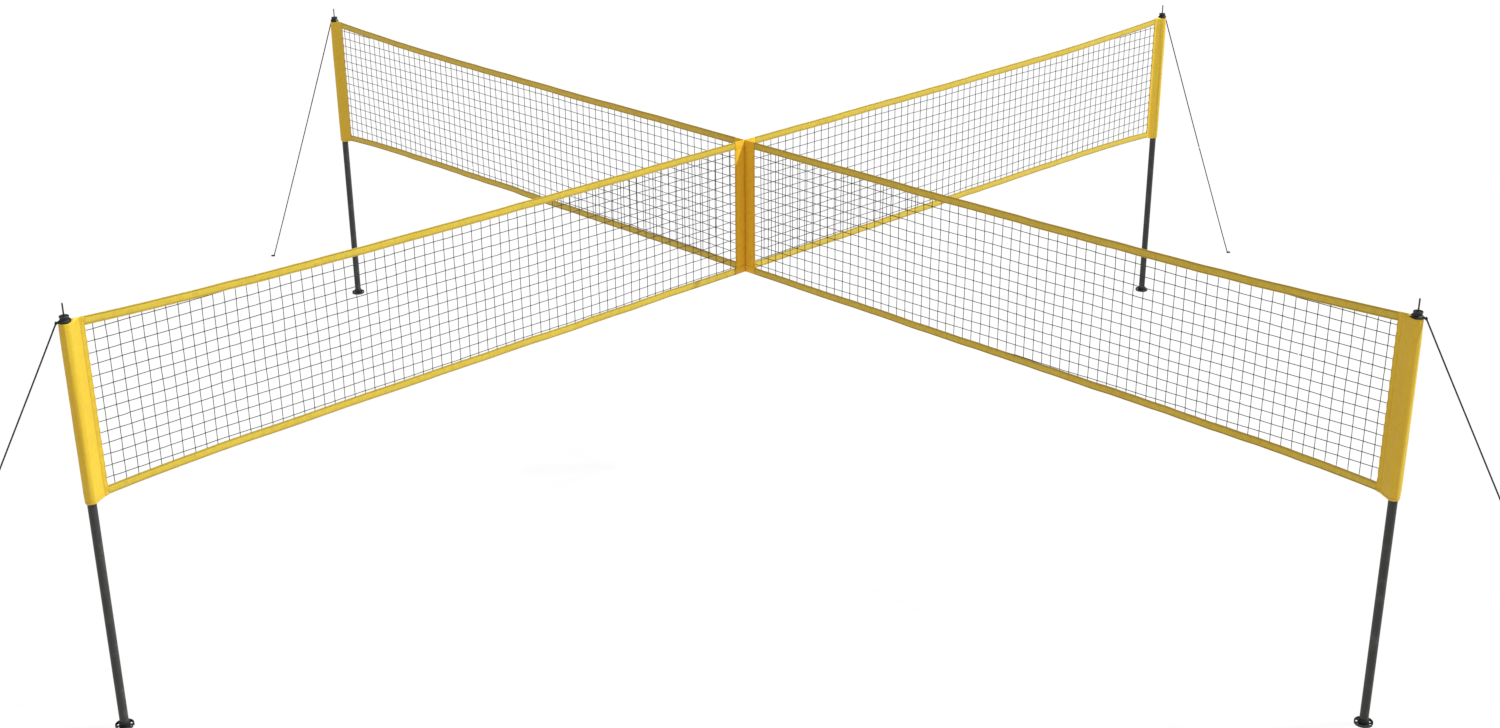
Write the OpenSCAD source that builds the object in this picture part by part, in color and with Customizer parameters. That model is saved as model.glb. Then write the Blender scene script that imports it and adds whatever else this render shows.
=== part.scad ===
// Four-way volleyball net: four guyed poles round a centre, with four net
// panels that meet in a sewn column in the middle.
//
// Units are millimetres, +Z is up. The origin is on the ground under the
// centre of the cross. Every arm is drawn along +X and turned into place:
// east is +X, north is +Y, west is -X and south is -Y.

/* [Layout] */
// Distance from the centre of the cross to each pole's axis
arm_len = 4500; // [3000:50:5000]
// Height of the net's top edge at the poles, at the lowest setting
net_height = 2240; // [2100:10:2300]
// Height of the net at the poles, from its top edge to its bottom edge
net_drop = 950; // [700:10:1000]
// How much lower the top edge is at the centre than at the poles
centre_dip = 50; // [0:2:80]
// How late the top edge rises to a pole: 1 is a straight line
top_bend = 5; // [1:1:8]
// How much higher the bottom edge is at the centre than at the poles
bottom_rise = 33; // [0:1:50]
// How late the bottom edge falls to a pole: 1 is a straight line
bottom_bend = 10; // [1:1:12]

/* [Net fabric] */
// Height of the top and bottom tapes
tape_h = 45; // [30:1:60]
// Thickness of a tape, folded over the netting's edge
tape_t = 5; // [3:0.5:6]
// Thickness of the netting, knot to knot
netting_t = 4; // [1.5:0.5:4]
// Outer diameter of the round part of a sleeve
sleeve_d = 66; // [60:1:72]
// Thickness of a sleeve's padded fabric
sleeve_t = 2.4; // [1.5:0.1:3]
// Distance from a pole's axis to the inner edge of its sleeve's band
sleeve_reach = 95; // [70:5:160]
// How far a sleeve hangs below the net's bottom edge
sleeve_tail = 9; // [0:1:20]
// Width of each flap of the centre column
flap_w = 85; // [50:5:120]

/* [Poles] */
// Outer diameter of the pole sections
pole_d = 46; // [42:0.5:46]
// Wall thickness of the pole sections
pole_wall = 1.5; // [1.2:0.1:2]
// Radial clearance where one section slides in the next
slip = 0.08; // [0.02:0.01:0.1]
// Height of the seam between the bottom and middle sections
seam_low = 260; // [220:5:320]
// Height of the seam between the middle and upper sections, in the sleeve
seam_high = 1310; // [1300:5:1450]
// Length of the bottom section's spigot, inside the middle section
spigot_low = 300; // [260:10:400]
// Length of the middle section's spigot, inside the upper section
spigot_high = 90; // [60:5:120]
// Travel of the height adjustment, from the lowest to the highest setting
height_travel = 190; // [100:5:200]
// Radius of the snap buttons that lock the height
button_r = 4; // [3:0.5:5]

/* [Feet] */
// Outer diameter of a foot
foot_d = 96; // [90:1:110]
// Thickness of a foot's base plate
foot_plate = 5; // [3:0.5:6]
// Height of the rim round a foot
foot_rim_h = 13; // [8:1:18]
// Width of the rim round a foot
foot_rim_w = 4; // [3:0.5:6]
// Diameter of the hub that a pole stands in
hub_d = 55; // [52:1:58]
// Height of the hub
hub_h = 30; // [20:1:45]
// Angle that each slot in the base plate spans
slot_angle = 30; // [20:1:36]

/* [Top fittings] */
// Diameter of the steel pin on top of a pole
pin_d = 8; // [6:0.5:10]
// Height of the pin's tip above the net's top edge
pin_rise = 88; // [70:1:110]
// Height of a cap above the guy rope's eye
cap_h = 25; // [20:1:30]
// Diameter of a cap's waist
cap_d = 43; // [42:1:48]
// How far a cap's lip reaches towards the net, from the pole's axis
cap_lip = 32; // [30:1:34]

/* [Guy ropes] */
// Diameter of a guy rope
rope_d = 8; // [4:0.5:8]
// Radius of the knot at each end of a guy rope
knot_r = 6.5; // [5:0.5:8]
// Radius of the loop that a ground peg holds, to the middle of the rope
loop_r = 10; // [8:1:20]

/* [Hidden] */
$fn = 96;

E = 0;  // east arm, along +X
N = 1;  // north arm, along +Y
W = 2;  // west arm, along -X
S = 3;  // south arm, along -Y

// Radii of the tubes: outside, inside, spigot outside, spigot inside.
pole_r = pole_d / 2;
bore_r = pole_r - pole_wall;
spig_r = bore_r - slip;
spig_in = spig_r - pole_wall;
shoulder = 10;          // length over which a tube is drawn down to a spigot

foot_floor = 6;         // thickness under the pole in the hub
pole_top = net_height - 13;
plug_len = 40;
tip_z = net_height + pin_rise;
// The sleeve's closed top lies on the pole's end, with the pin through it. The
// guy rope's eye lies on that, round the neck of the cap, under its flange.
cap_z = pole_top + sleeve_t + 0.1;
cap_neck = rope_d + 0.5;
// The pin is thicker inside the plug and the cap, with a shoulder flush with
// the middle of the cap's dish.
shank_r = pin_d / 2 + 0.5;
shoulder_z = cap_z + cap_neck + cap_h - 0.5;
button_z = seam_low + 25 + height_travel;

// Heading of the open notch in each foot, seen from above. The feet turn on
// the poles, so each one stands as it was set down.
foot_heading = [-30, -60, -50, -76];
foot_slots = 8;

eye_z = cap_z + 0.2 + rope_d / 2;
eye_r = cap_d / 2 + 1.1 + rope_d / 2;
eye_knot_x = 40;

// Route of a guy rope: distance outward from the pole's axis, and height.
rope_route = [
    [43, 2229], [188, 1959], [334, 1690], [479, 1422], [625, 1155],
    [770, 890], [916, 625], [1085, 318], [1255, 13]
];
// Angle that each rope is turned off the line of its arm, seen from above.
rope_turn = [0, 0, -10, 13];
rope_rings = 20;
rope_sides = 8;
end_knot = [1258, 7];

// Net panel: how far along an arm it runs, and its edges.
net_in = flap_w;
net_out = arm_len - sleeve_reach;
net_steps = 24;
function along(i) = net_in + (net_out - net_in) * i / net_steps;
function z_top(s) = let (t = s / arm_len)
    net_height - centre_dip * (1 - pow(t, top_bend));
function z_bot(s) = let (t = s / arm_len)
    net_height - net_drop + bottom_rise * (1 - pow(t, bottom_bend));

// A closed outline between two edges of the net, each given by its height
// above the bottom edge or below the top edge.
function edge_top(down) = [for (i = [0:net_steps]) [along(i), z_top(along(i)) - down]];
function edge_bot(up) = [for (i = [net_steps:-1:0]) [along(i), z_bot(along(i)) + up]];
function back(p) = [for (i = [len(p) - 1:-1:0]) p[i]];

// Turns a child drawn on the +X arm to arm i.
module arm(i) rotate([0, 0, 90 * i]) children();

// Stands a child at the pole of arm i.
module at_pole(i) arm(i) translate([arm_len, 0, 0]) children();

// The same, turned to the rope's own direction.
module at_rope(i) at_pole(i) rotate([0, 0, rope_turn[i]]) children();

// A plate of thickness t in the arm's own upright plane.
module upright(t, outline)
    rotate([90, 0, 0]) linear_extrude(height = t, center = true) polygon(outline);

module ring(r_out, r_in, z0, z1) translate([0, 0, z0])
    difference() {
        cylinder(r = r_out, h = z1 - z0);
        translate([0, 0, -1]) cylinder(r = r_in, h = z1 - z0 + 2);
    }

// ---------------------------------------------------------------- feet

// One slot of the base plate, between radii a and b, centred on +X.
module slot(a, b, span) translate([0, 0, -1])
    rotate([0, 0, -span / 2])
        rotate_extrude(angle = span) translate([a, 0]) square([b - a, foot_plate + 2]);

module foot(i) color([0.09, 0.09, 0.09]) at_pole(i) rotate([0, 0, foot_heading[i] - 90 * i]) {
    r = foot_d / 2;
    difference() {
        union() {
            cylinder(r = r, h = foot_plate);
            ring(r, r - foot_rim_w, 0, foot_rim_h);
            cylinder(r = hub_d / 2, h = hub_h);
        }
        // blind socket that the pole stands and turns in
        translate([0, 0, foot_floor]) cylinder(r = pole_r + 0.05, h = hub_h);
        // slots through the plate, one place left for the open notch
        for (k = [1:foot_slots - 1])
            rotate([0, 0, k * 360 / foot_slots])
                slot(hub_d / 2 + 3, r - foot_rim_w - 2.5, slot_angle);
        translate([hub_d / 2 + 3, -6.5, -1]) cube([r, 13, foot_rim_h + 2]);
    }
}

// --------------------------------------------------------------- poles

// A tube from z0 to z1 with a drawn-down spigot of length n on its top.
module pole_section(z0, z1, n) difference() {
    union() {
        translate([0, 0, z0]) cylinder(r = pole_r, h = z1 - z0);
        translate([0, 0, z1 - 1]) cylinder(r = spig_r, h = n + 1);
    }
    translate([0, 0, z0 - 1]) cylinder(r = bore_r, h = z1 - z0 + 1 - shoulder);
    translate([0, 0, z1 - shoulder - 1]) cylinder(r = spig_in, h = n + shoulder + 2);
}

// A radial hole through one wall, on the side that faces the centre.
module lock_hole(z, r) translate([-pole_r - 3, 0, z]) rotate([0, 90, 0])
    cylinder(r = r, h = 14);

module bottom_pole(i) color([0.27, 0.27, 0.26]) at_pole(i) difference() {
    pole_section(foot_floor, seam_low, spigot_low);
    lock_hole(button_z, button_r + 0.1);
}

module middle_pole(i) color([0.27, 0.27, 0.26]) at_pole(i) difference() {
    pole_section(seam_low, seam_high, spigot_high);
    lock_hole(seam_low + 25, button_r + 0.25);
}

module upper_pole(i) color([0.27, 0.27, 0.26]) at_pole(i)
    ring(pole_r, bore_r, seam_high, pole_top);

// Snap button on its bent leaf spring, pressed in by the middle section.
module snap_button() translate([0, 0, button_z]) {
    translate([-bore_r + 0.6, 0, 0]) rotate([0, 90, 0]) cylinder(r = button_r, h = 4.5);
    rotate([90, 0, 0]) linear_extrude(height = 8, center = true) polygon([
        [-spig_in + 3, 14], [-spig_in + 3.8, 14], [-spig_in + 3.8, -20],
        [0, -46], [spig_in - 1.5, -20], [spig_in - 1.5, 10], [spig_in - 0.7, 10],
        [spig_in - 0.7, -20.4], [0, -47.2], [-spig_in + 3, -20.4]
    ]);
}
module snap_buttons() color([0.7, 0.7, 0.72]) for (i = [E, N, W, S]) at_pole(i) snap_button();

module pole_plugs() color([0.09, 0.09, 0.09]) for (i = [E, N, W, S]) at_pole(i)
    translate([0, 0, pole_top - plug_len]) difference() {
        cylinder(r = bore_r - 0.05, h = plug_len);
        translate([0, 0, 3]) cylinder(r = shank_r + 0.02, h = plug_len);
    }

// -------------------------------------------------------- top fittings

module top_pin(i) color([0.16, 0.16, 0.16]) at_pole(i) {
    r = pin_d / 2;
    translate([0, 0, pole_top - plug_len + 4]) cylinder(r = shank_r, h = shoulder_z - pole_top + plug_len - 4);
    translate([0, 0, shoulder_z - 1]) cylinder(r = r, h = tip_z - r - shoulder_z + 1);
    translate([0, 0, tip_z - r]) sphere(r = r);
}

module cap(i) color([0.08, 0.08, 0.08]) at_pole(i) translate([0, 0, cap_z]) {
    r = cap_d / 2;
    h = cap_neck + cap_h;
    rotate_extrude() polygon([
        [shank_r + 0.06, 0], [r + 0.6, 0], [r + 0.6, cap_neck],
        [r + 4.5, cap_neck], [r + 4.5, cap_neck + 3.5], [r, cap_neck + 6],
        [r, h - 8], [r + 2, h - 6.5], [r + 2, h - 1],
        [r + 1, h], [r - 1.5, h], [r - 3.5, h - 3.5],
        [9, h - 3.5], [8, h - 0.5], [shank_r + 0.06, h - 0.5]
    ]);
    // lip over the corner of the net
    translate([0, 0, cap_neck]) rotate([90, 0, 0]) linear_extrude(height = 17, center = true) polygon([
        [-r + 3, 0], [-cap_lip + 2, 0], [-cap_lip, 1], [-cap_lip, 2.5],
        [-r - 3, 11], [-r + 3, 11]
    ]);
}

// ----------------------------------------------------------- guy ropes

module guy_eye(i) color([0.07, 0.07, 0.07]) at_rope(i) translate([0, 0, eye_z]) {
    rotate_extrude() translate([eye_r, 0]) circle(d = rope_d, $fn = 32);
    translate([eye_r, 0, 0]) rotate([0, 90, 0]) cylinder(d = rope_d, h = eye_knot_x - eye_r);
    translate([eye_knot_x, 0, 0]) sphere(r = knot_r);
}

// A smooth curve through the route's points.
function pt(k) = rope_route[max(0, min(len(rope_route) - 1, k))];
function smooth(u) = let (k = floor(u), f = u - k,
        a = pt(k - 1), b = pt(k), c = pt(k + 1), d = pt(k + 2))
    0.5 * (2 * b + (c - a) * f + (2 * a - 5 * b + 4 * c - d) * f * f
        + (3 * b - a - 3 * c + d) * f * f * f);
function rope_at(j) = smooth((len(rope_route) - 1) * j / (rope_rings - 1));
function rope_dir(j) = let (a = rope_at(max(0, j - 1)), b = rope_at(min(rope_rings - 1, j + 1)),
        d = b - a) d / norm(d);

module guy_rope(i) color([0.07, 0.07, 0.07]) at_rope(i) {
    r = rope_d / 2;
    n = rope_sides;
    points = [for (j = [0:rope_rings - 1]) let (p = rope_at(j), d = rope_dir(j))
        for (k = [0:n - 1]) let (a = 360 * k / n)
            [p[0] - d[1] * r * cos(a), r * sin(a), p[1] + d[0] * r * cos(a)]];
    faces = concat(
        [[for (k = [0:n - 1]) k]],
        [for (j = [0:rope_rings - 2]) for (k = [0:n - 1]) let (m = (k + 1) % n)
            [j * n + k, (j + 1) * n + k, (j + 1) * n + m, j * n + m]],
        [[for (k = [n - 1:-1:0]) (rope_rings - 1) * n + k]]
    );
    polyhedron(points = points, faces = faces);
}

// Knot and open loop at the ground, where a peg holds the rope.
module rope_end(i) color([0.07, 0.07, 0.07]) at_rope(i) {
    neck = knot_r + 6;
    translate([end_knot[0], 0, end_knot[1]]) sphere(r = knot_r);
    translate([end_knot[0], 0, rope_d / 2]) rotate([0, 90, 0]) cylinder(d = rope_d - 1.6, h = neck);
    translate([end_knot[0] + neck + loop_r, 0, rope_d / 2])
        rotate_extrude() translate([loop_r, 0]) circle(d = rope_d, $fn = 32);
}

// ---------------------------------------------------------- net fabric

module sleeve(i) color([0.95, 0.80, 0.18]) at_pole(i) {
    r = sleeve_d / 2;
    bottom = net_height - net_drop - sleeve_tail;
    top = pole_top + sleeve_t;
    root = arm_len - r + sleeve_t * 0.6;
    ring(r, r - sleeve_t, bottom, top);
    ring(r - 1, shank_r + 0.5, pole_top, top);
    // the flat band that joins the net, higher than the tube and clear of the cap
    translate([-arm_len, 0, 0]) upright(tape_t, [
        [net_out, z_bot(net_out)], [net_out, z_top(net_out)],
        [arm_len - 42, z_top(arm_len - 42)], [arm_len - 36, z_top(arm_len - 36) - 2],
        [arm_len - 34.5, top], [root, top], [root, bottom]
    ]);
}

module top_tape(i) color([0.95, 0.80, 0.18]) arm(i)
    upright(tape_t, concat(edge_top(0), back(edge_top(tape_h))));

module bottom_tape(i) color([0.95, 0.80, 0.18]) arm(i)
    upright(tape_t, concat(edge_bot(0), back(edge_bot(tape_h))));

module netting(i) color([0.3, 0.3, 0.3, 0.5]) arm(i)
    upright(netting_t, concat(edge_top(tape_h), edge_bot(tape_h)));

// The four flaps are mitred, so that they meet on the centre line.
module centre_flap(i) color([0.85, 0.62, 0.12]) arm(i) intersection() {
    upright(tape_t, [
        [0, z_bot(0)], [0, z_top(0)], [flap_w, z_top(flap_w)], [flap_w, z_bot(flap_w)]
    ]);
    linear_extrude(height = 3000) polygon([
        [0, 0], [tape_t / 2, tape_t / 2], [flap_w, tape_t / 2],
        [flap_w, -tape_t / 2], [tape_t / 2, -tape_t / 2]
    ]);
}

foot(E);  // foot_east
foot(N);  // foot_north
foot(W);  // foot_west
foot(S);  // foot_south
bottom_pole(E);  // bottom_pole_east
bottom_pole(N);  // bottom_pole_north
bottom_pole(W);  // bottom_pole_west
bottom_pole(S);  // bottom_pole_south
middle_pole(E);  // middle_pole_east
middle_pole(N);  // middle_pole_north
middle_pole(W);  // middle_pole_west
middle_pole(S);  // middle_pole_south
upper_pole(E);  // upper_pole_east
upper_pole(N);  // upper_pole_north
upper_pole(W);  // upper_pole_west
upper_pole(S);  // upper_pole_south
snap_buttons();
pole_plugs();
top_pin(E);  // top_pin_east
top_pin(N);  // top_pin_north
top_pin(W);  // top_pin_west
top_pin(S);  // top_pin_south
cap(E);  // cap_east
cap(N);  // cap_north
cap(W);  // cap_west
cap(S);  // cap_south
guy_eye(E);  // guy_eye_east
guy_eye(N);  // guy_eye_north
guy_eye(W);  // guy_eye_west
guy_eye(S);  // guy_eye_south
guy_rope(E);  // guy_rope_east
guy_rope(N);  // guy_rope_north
guy_rope(W);  // guy_rope_west
guy_rope(S);  // guy_rope_south
rope_end(E);  // rope_end_east
rope_end(N);  // rope_end_north
rope_end(W);  // rope_end_west
rope_end(S);  // rope_end_south
sleeve(E);  // sleeve_east
sleeve(N);  // sleeve_north
sleeve(W);  // sleeve_west
sleeve(S);  // sleeve_south
top_tape(E);  // top_tape_east
top_tape(N);  // top_tape_north
top_tape(W);  // top_tape_west
top_tape(S);  // top_tape_south
bottom_tape(E);  // bottom_tape_east
bottom_tape(N);  // bottom_tape_north
bottom_tape(W);  // bottom_tape_west
bottom_tape(S);  // bottom_tape_south
netting(E);  // netting_east
netting(N);  // netting_north
netting(W);  // netting_west
netting(S);  // netting_south
centre_flap(E);  // centre_flap_east
centre_flap(N);  // centre_flap_north
centre_flap(W);  // centre_flap_west
centre_flap(S);  // centre_flap_south
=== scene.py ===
import math

import bpy
import numpy as np
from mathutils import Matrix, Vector


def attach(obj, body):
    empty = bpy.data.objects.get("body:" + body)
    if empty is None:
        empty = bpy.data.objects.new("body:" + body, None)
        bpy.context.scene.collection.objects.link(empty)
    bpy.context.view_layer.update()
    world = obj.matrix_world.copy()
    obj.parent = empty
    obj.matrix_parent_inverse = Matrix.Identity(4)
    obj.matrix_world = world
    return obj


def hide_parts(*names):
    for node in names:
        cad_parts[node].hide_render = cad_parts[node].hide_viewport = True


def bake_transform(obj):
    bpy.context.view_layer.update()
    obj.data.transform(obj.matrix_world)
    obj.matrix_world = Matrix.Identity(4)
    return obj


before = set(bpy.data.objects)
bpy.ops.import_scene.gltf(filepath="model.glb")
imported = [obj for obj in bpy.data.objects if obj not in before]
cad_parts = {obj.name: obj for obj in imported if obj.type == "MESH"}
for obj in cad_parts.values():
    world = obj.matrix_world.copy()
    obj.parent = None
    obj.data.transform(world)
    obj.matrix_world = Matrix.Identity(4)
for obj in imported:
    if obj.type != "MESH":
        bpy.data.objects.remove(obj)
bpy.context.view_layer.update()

SIDES = ("east", "north", "west", "south")
ARM = 4.5                      # centre to pole axis
NET_TOP, NET_DROP = 2.240, 0.950
TAPE_H = 0.045
SLEEVE_IN = 4.405              # inner edge of the sleeve's band
FLAP_W = 0.085
POLE_TOP = NET_TOP - 0.013
SLEEVE_R = 0.0322              # middle of the sleeve's fabric
SLEEVE_LOW = NET_TOP - NET_DROP - 0.009


def z_top(s):
    t = s / ARM
    return NET_TOP - 0.050 * (1 - t ** 5)


def z_bot(s):
    t = s / ARM
    return NET_TOP - NET_DROP + 0.033 * (1 - t ** 10)


# ---------------------------------------------------------------- the camera

camera = bpy.data.objects.new("camera", bpy.data.cameras.new("camera"))
bpy.context.scene.collection.objects.link(camera)
camera.location = (-8.269, -8.426, 5.589)
camera.rotation_euler = [math.radians(a) for a in (67.433, 0.319, -44.714)]
camera.data.lens = 47.206
camera.data.sensor_width = 36.0
camera.data.clip_start, camera.data.clip_end = 0.05, 500.0
bpy.context.scene.camera = camera
bpy.context.scene.view_settings.view_transform = "Standard"


# -------------------------------------------------------------- mesh helpers

def unit(a):
    return a / np.maximum(np.linalg.norm(a, axis=-1, keepdims=True), 1e-12)


def to_world(i, p):
    """Arm points (outward, sideways, up) turned to arm i, which is i quarter turns from +X."""
    p = np.asarray(p, float)
    c, s = round(math.cos(math.pi / 2 * i)), round(math.sin(math.pi / 2 * i))
    return np.stack([p[..., 0] * c - p[..., 1] * s, p[..., 0] * s + p[..., 1] * c, p[..., 2]], -1)


def turned(p, degrees):
    """Points on an arm, turned about the arm's pole."""
    p = np.asarray(p, float).copy()
    a = math.radians(degrees)
    x, y = p[..., 0] - ARM, p[..., 1].copy()
    p[..., 0] = ARM + x * math.cos(a) - y * math.sin(a)
    p[..., 1] = x * math.sin(a) + y * math.cos(a)
    return p


def grid_faces(rows, cols, wrap=False):
    r = np.arange(rows - 1)[:, None]
    c = np.arange(cols if wrap else cols - 1)[None, :]
    a, b = r * cols + c, r * cols + (c + 1) % cols
    return np.stack([a, b, b + cols, a + cols], -1).reshape(-1, 4)


def corner_uv(u, v, wrap=False):
    """UVs of the corners of grid_faces: u by row, v by column. A wrapped v has one more value than there are columns."""
    u, v = np.asarray(u, float), np.asarray(v, float)
    cols = len(v) - 1
    r, c = np.arange(len(u) - 1)[:, None], np.arange(cols)[None, :]
    ones = np.ones((len(u) - 1, cols))
    lo, hi = u[r] * ones, u[r + 1] * ones
    left, right = v[c] * ones, v[c + 1] * ones
    return np.stack([np.stack([lo, left], -1), np.stack([lo, right], -1),
                     np.stack([hi, right], -1), np.stack([hi, left], -1)], -2).reshape(-1, 4, 2)


class Shape:
    """Parts gathered into one mesh, with a UV in metres at each corner and one number at each vertex."""

    def __init__(self):
        self.verts, self.faces, self.uvs, self.marks, self.n = [], [], [], [], 0

    def add(self, verts, faces, uvs=None, marks=None):
        verts = np.asarray(verts, float).reshape(-1, 3)
        faces = np.asarray(faces, int)
        self.faces.append(faces + self.n)
        self.uvs.append(np.zeros((*faces.shape, 2)) if uvs is None else np.asarray(uvs, float))
        self.marks.append(np.zeros(len(verts)) if marks is None else np.asarray(marks, float).ravel())
        self.verts.append(verts)
        self.n += len(verts)
        return self

    def add_also(self, faces, uvs=None):
        """More faces on the vertices that the last add() brought."""
        faces = np.asarray(faces, int) + self.n - len(self.verts[-1])
        self.faces.append(faces)
        self.uvs.append(np.zeros((*faces.shape, 2)) if uvs is None else np.asarray(uvs, float))

    def tube(self, path, radius, sides, ref, ends=True):
        """A round tube along path. ref is a direction that the path never takes, or one for each point."""
        p = np.asarray(path, float)
        t = unit(np.gradient(p, axis=0))
        b = unit(np.cross(t, np.broadcast_to(np.asarray(ref, float), p.shape)))
        c = np.cross(b, t)
        a = 2 * math.pi * np.arange(sides) / sides
        r = np.broadcast_to(np.asarray(radius, float), (len(p),))[:, None, None]
        ring = p[:, None] + r * (np.cos(a)[:, None] * b[:, None] + np.sin(a)[:, None] * c[:, None])
        run = np.r_[0, np.cumsum(np.linalg.norm(np.diff(p, axis=0), axis=1))]
        self.add(ring, grid_faces(len(p), sides, True)[:, ::-1],
                 corner_uv(run, np.linspace(0, 1, sides + 1), True)[:, ::-1])
        if ends:
            fan = np.array([[0, k, k + 1] for k in range(1, sides - 1)])
            self.add_also(fan)
            self.add_also(fan[:, ::-1] + (len(p) - 1) * sides)
        return self

    def sheet(self, grid, thick, u, v, marks=None):
        """A closed sheet of cloth round a grid of points. u and v are its own coordinates in metres, by row and by column."""
        p = np.asarray(grid, float)
        rows, cols = p.shape[:2]
        n = unit(np.cross(np.gradient(p, axis=1), np.gradient(p, axis=0)))
        half = np.broadcast_to(np.asarray(thick, float), (rows, cols))[..., None] / 2
        both = np.concatenate([(p + n * half).reshape(-1, 3), (p - n * half).reshape(-1, 3)])
        marks = np.zeros((rows, cols)) if marks is None else np.broadcast_to(marks, (rows, cols))
        f = grid_faces(rows, cols)
        uv = corner_uv(u, v)
        m = rows * cols
        self.add(both, f, uv, np.r_[marks.ravel(), marks.ravel()])
        self.add_also((f + m)[:, ::-1], uv[:, ::-1])
        first, last = np.arange(cols), np.arange(cols) + (rows - 1) * cols
        left, right = np.arange(rows) * cols, np.arange(rows) * cols + cols - 1
        for edge, back in ((first, True), (last, False), (left, False), (right, True)):
            q = np.stack([edge[:-1], edge[1:], edge[1:] + m, edge[:-1] + m], -1)
            self.add_also(q[:, ::-1] if back else q)
        return self

    def build(self, name, material, arm=None, turn=0.0):
        v = turned(np.concatenate(self.verts), turn)
        if arm is not None:
            v = to_world(arm, v)
        volume = 0.0
        for f in self.faces:
            for k in range(1, f.shape[1] - 1):
                volume += float((v[f[:, 0]] * np.cross(v[f[:, k]], v[f[:, k + 1]])).sum())
        flip = volume < 0
        loops, counts, uvs = [], [], []
        for f, uv in zip(self.faces, self.uvs):
            if flip:
                f, uv = f[:, ::-1], uv[:, ::-1]
            loops.append(f.ravel())
            uvs.append(uv.reshape(-1, 2))
            counts.append(np.full(len(f), f.shape[1]))
        loops, counts, uvs = np.concatenate(loops), np.concatenate(counts), np.concatenate(uvs)
        mesh = bpy.data.meshes.new(name)
        mesh.vertices.add(len(v))
        mesh.vertices.foreach_set("co", v.astype(np.float32).ravel())
        mesh.loops.add(len(loops))
        mesh.loops.foreach_set("vertex_index", loops.astype(np.int32))
        mesh.polygons.add(len(counts))
        mesh.polygons.foreach_set("loop_start", np.r_[0, np.cumsum(counts)[:-1]].astype(np.int32))
        mesh.polygons.foreach_set("use_smooth", np.ones(len(counts), bool))
        mesh.uv_layers.new(name="Metres").data.foreach_set("uv", uvs.astype(np.float32).ravel())
        mark = mesh.attributes.new("mark", "FLOAT", "POINT")
        mark.data.foreach_set("value", np.concatenate(self.marks).astype(np.float32))
        mesh.update(calc_edges=True)
        mesh.materials.append(material)
        o = bpy.data.objects.new(name, mesh)
        bpy.context.scene.collection.objects.link(o)
        return o


def catmull(points, n):
    """n points along the smooth curve that part.scad draws through the same route."""
    p = np.asarray(points, float)
    u = np.linspace(0, len(p) - 1, n)
    k = np.minimum(u.astype(int), len(p) - 2)
    f = (u - k)[:, None]
    at = lambda j: p[np.clip(j, 0, len(p) - 1)]
    a, b, c, d = at(k - 1), at(k), at(k + 1), at(k + 2)
    return 0.5 * (2 * b + (c - a) * f + (2 * a - 5 * b + 4 * c - d) * f ** 2 + (3 * b - a - 3 * c + d) * f ** 3)


def resample(path, step):
    p = np.asarray(path, float)
    run = np.r_[0, np.cumsum(np.linalg.norm(np.diff(p, axis=0), axis=1))]
    at = np.linspace(0, run[-1], max(3, int(round(run[-1] / step)) + 1))
    return np.stack([np.interp(at, run, p[:, k]) for k in range(3)], -1)


def waves(rng, count, low, high):
    """A smooth random function of one number: count sines with wavelengths from low to high, sum about 1 high."""
    lengths = low * (high / low) ** rng.random(count)
    turns = rng.random(count) * 2 * math.pi
    share = rng.random(count) + 0.4
    share /= share.sum()
    return lambda x: sum(a * np.sin(2 * math.pi * np.asarray(x) / w + t) for a, w, t in zip(share, lengths, turns))


# ----------------------------------------------------------------- materials

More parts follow.
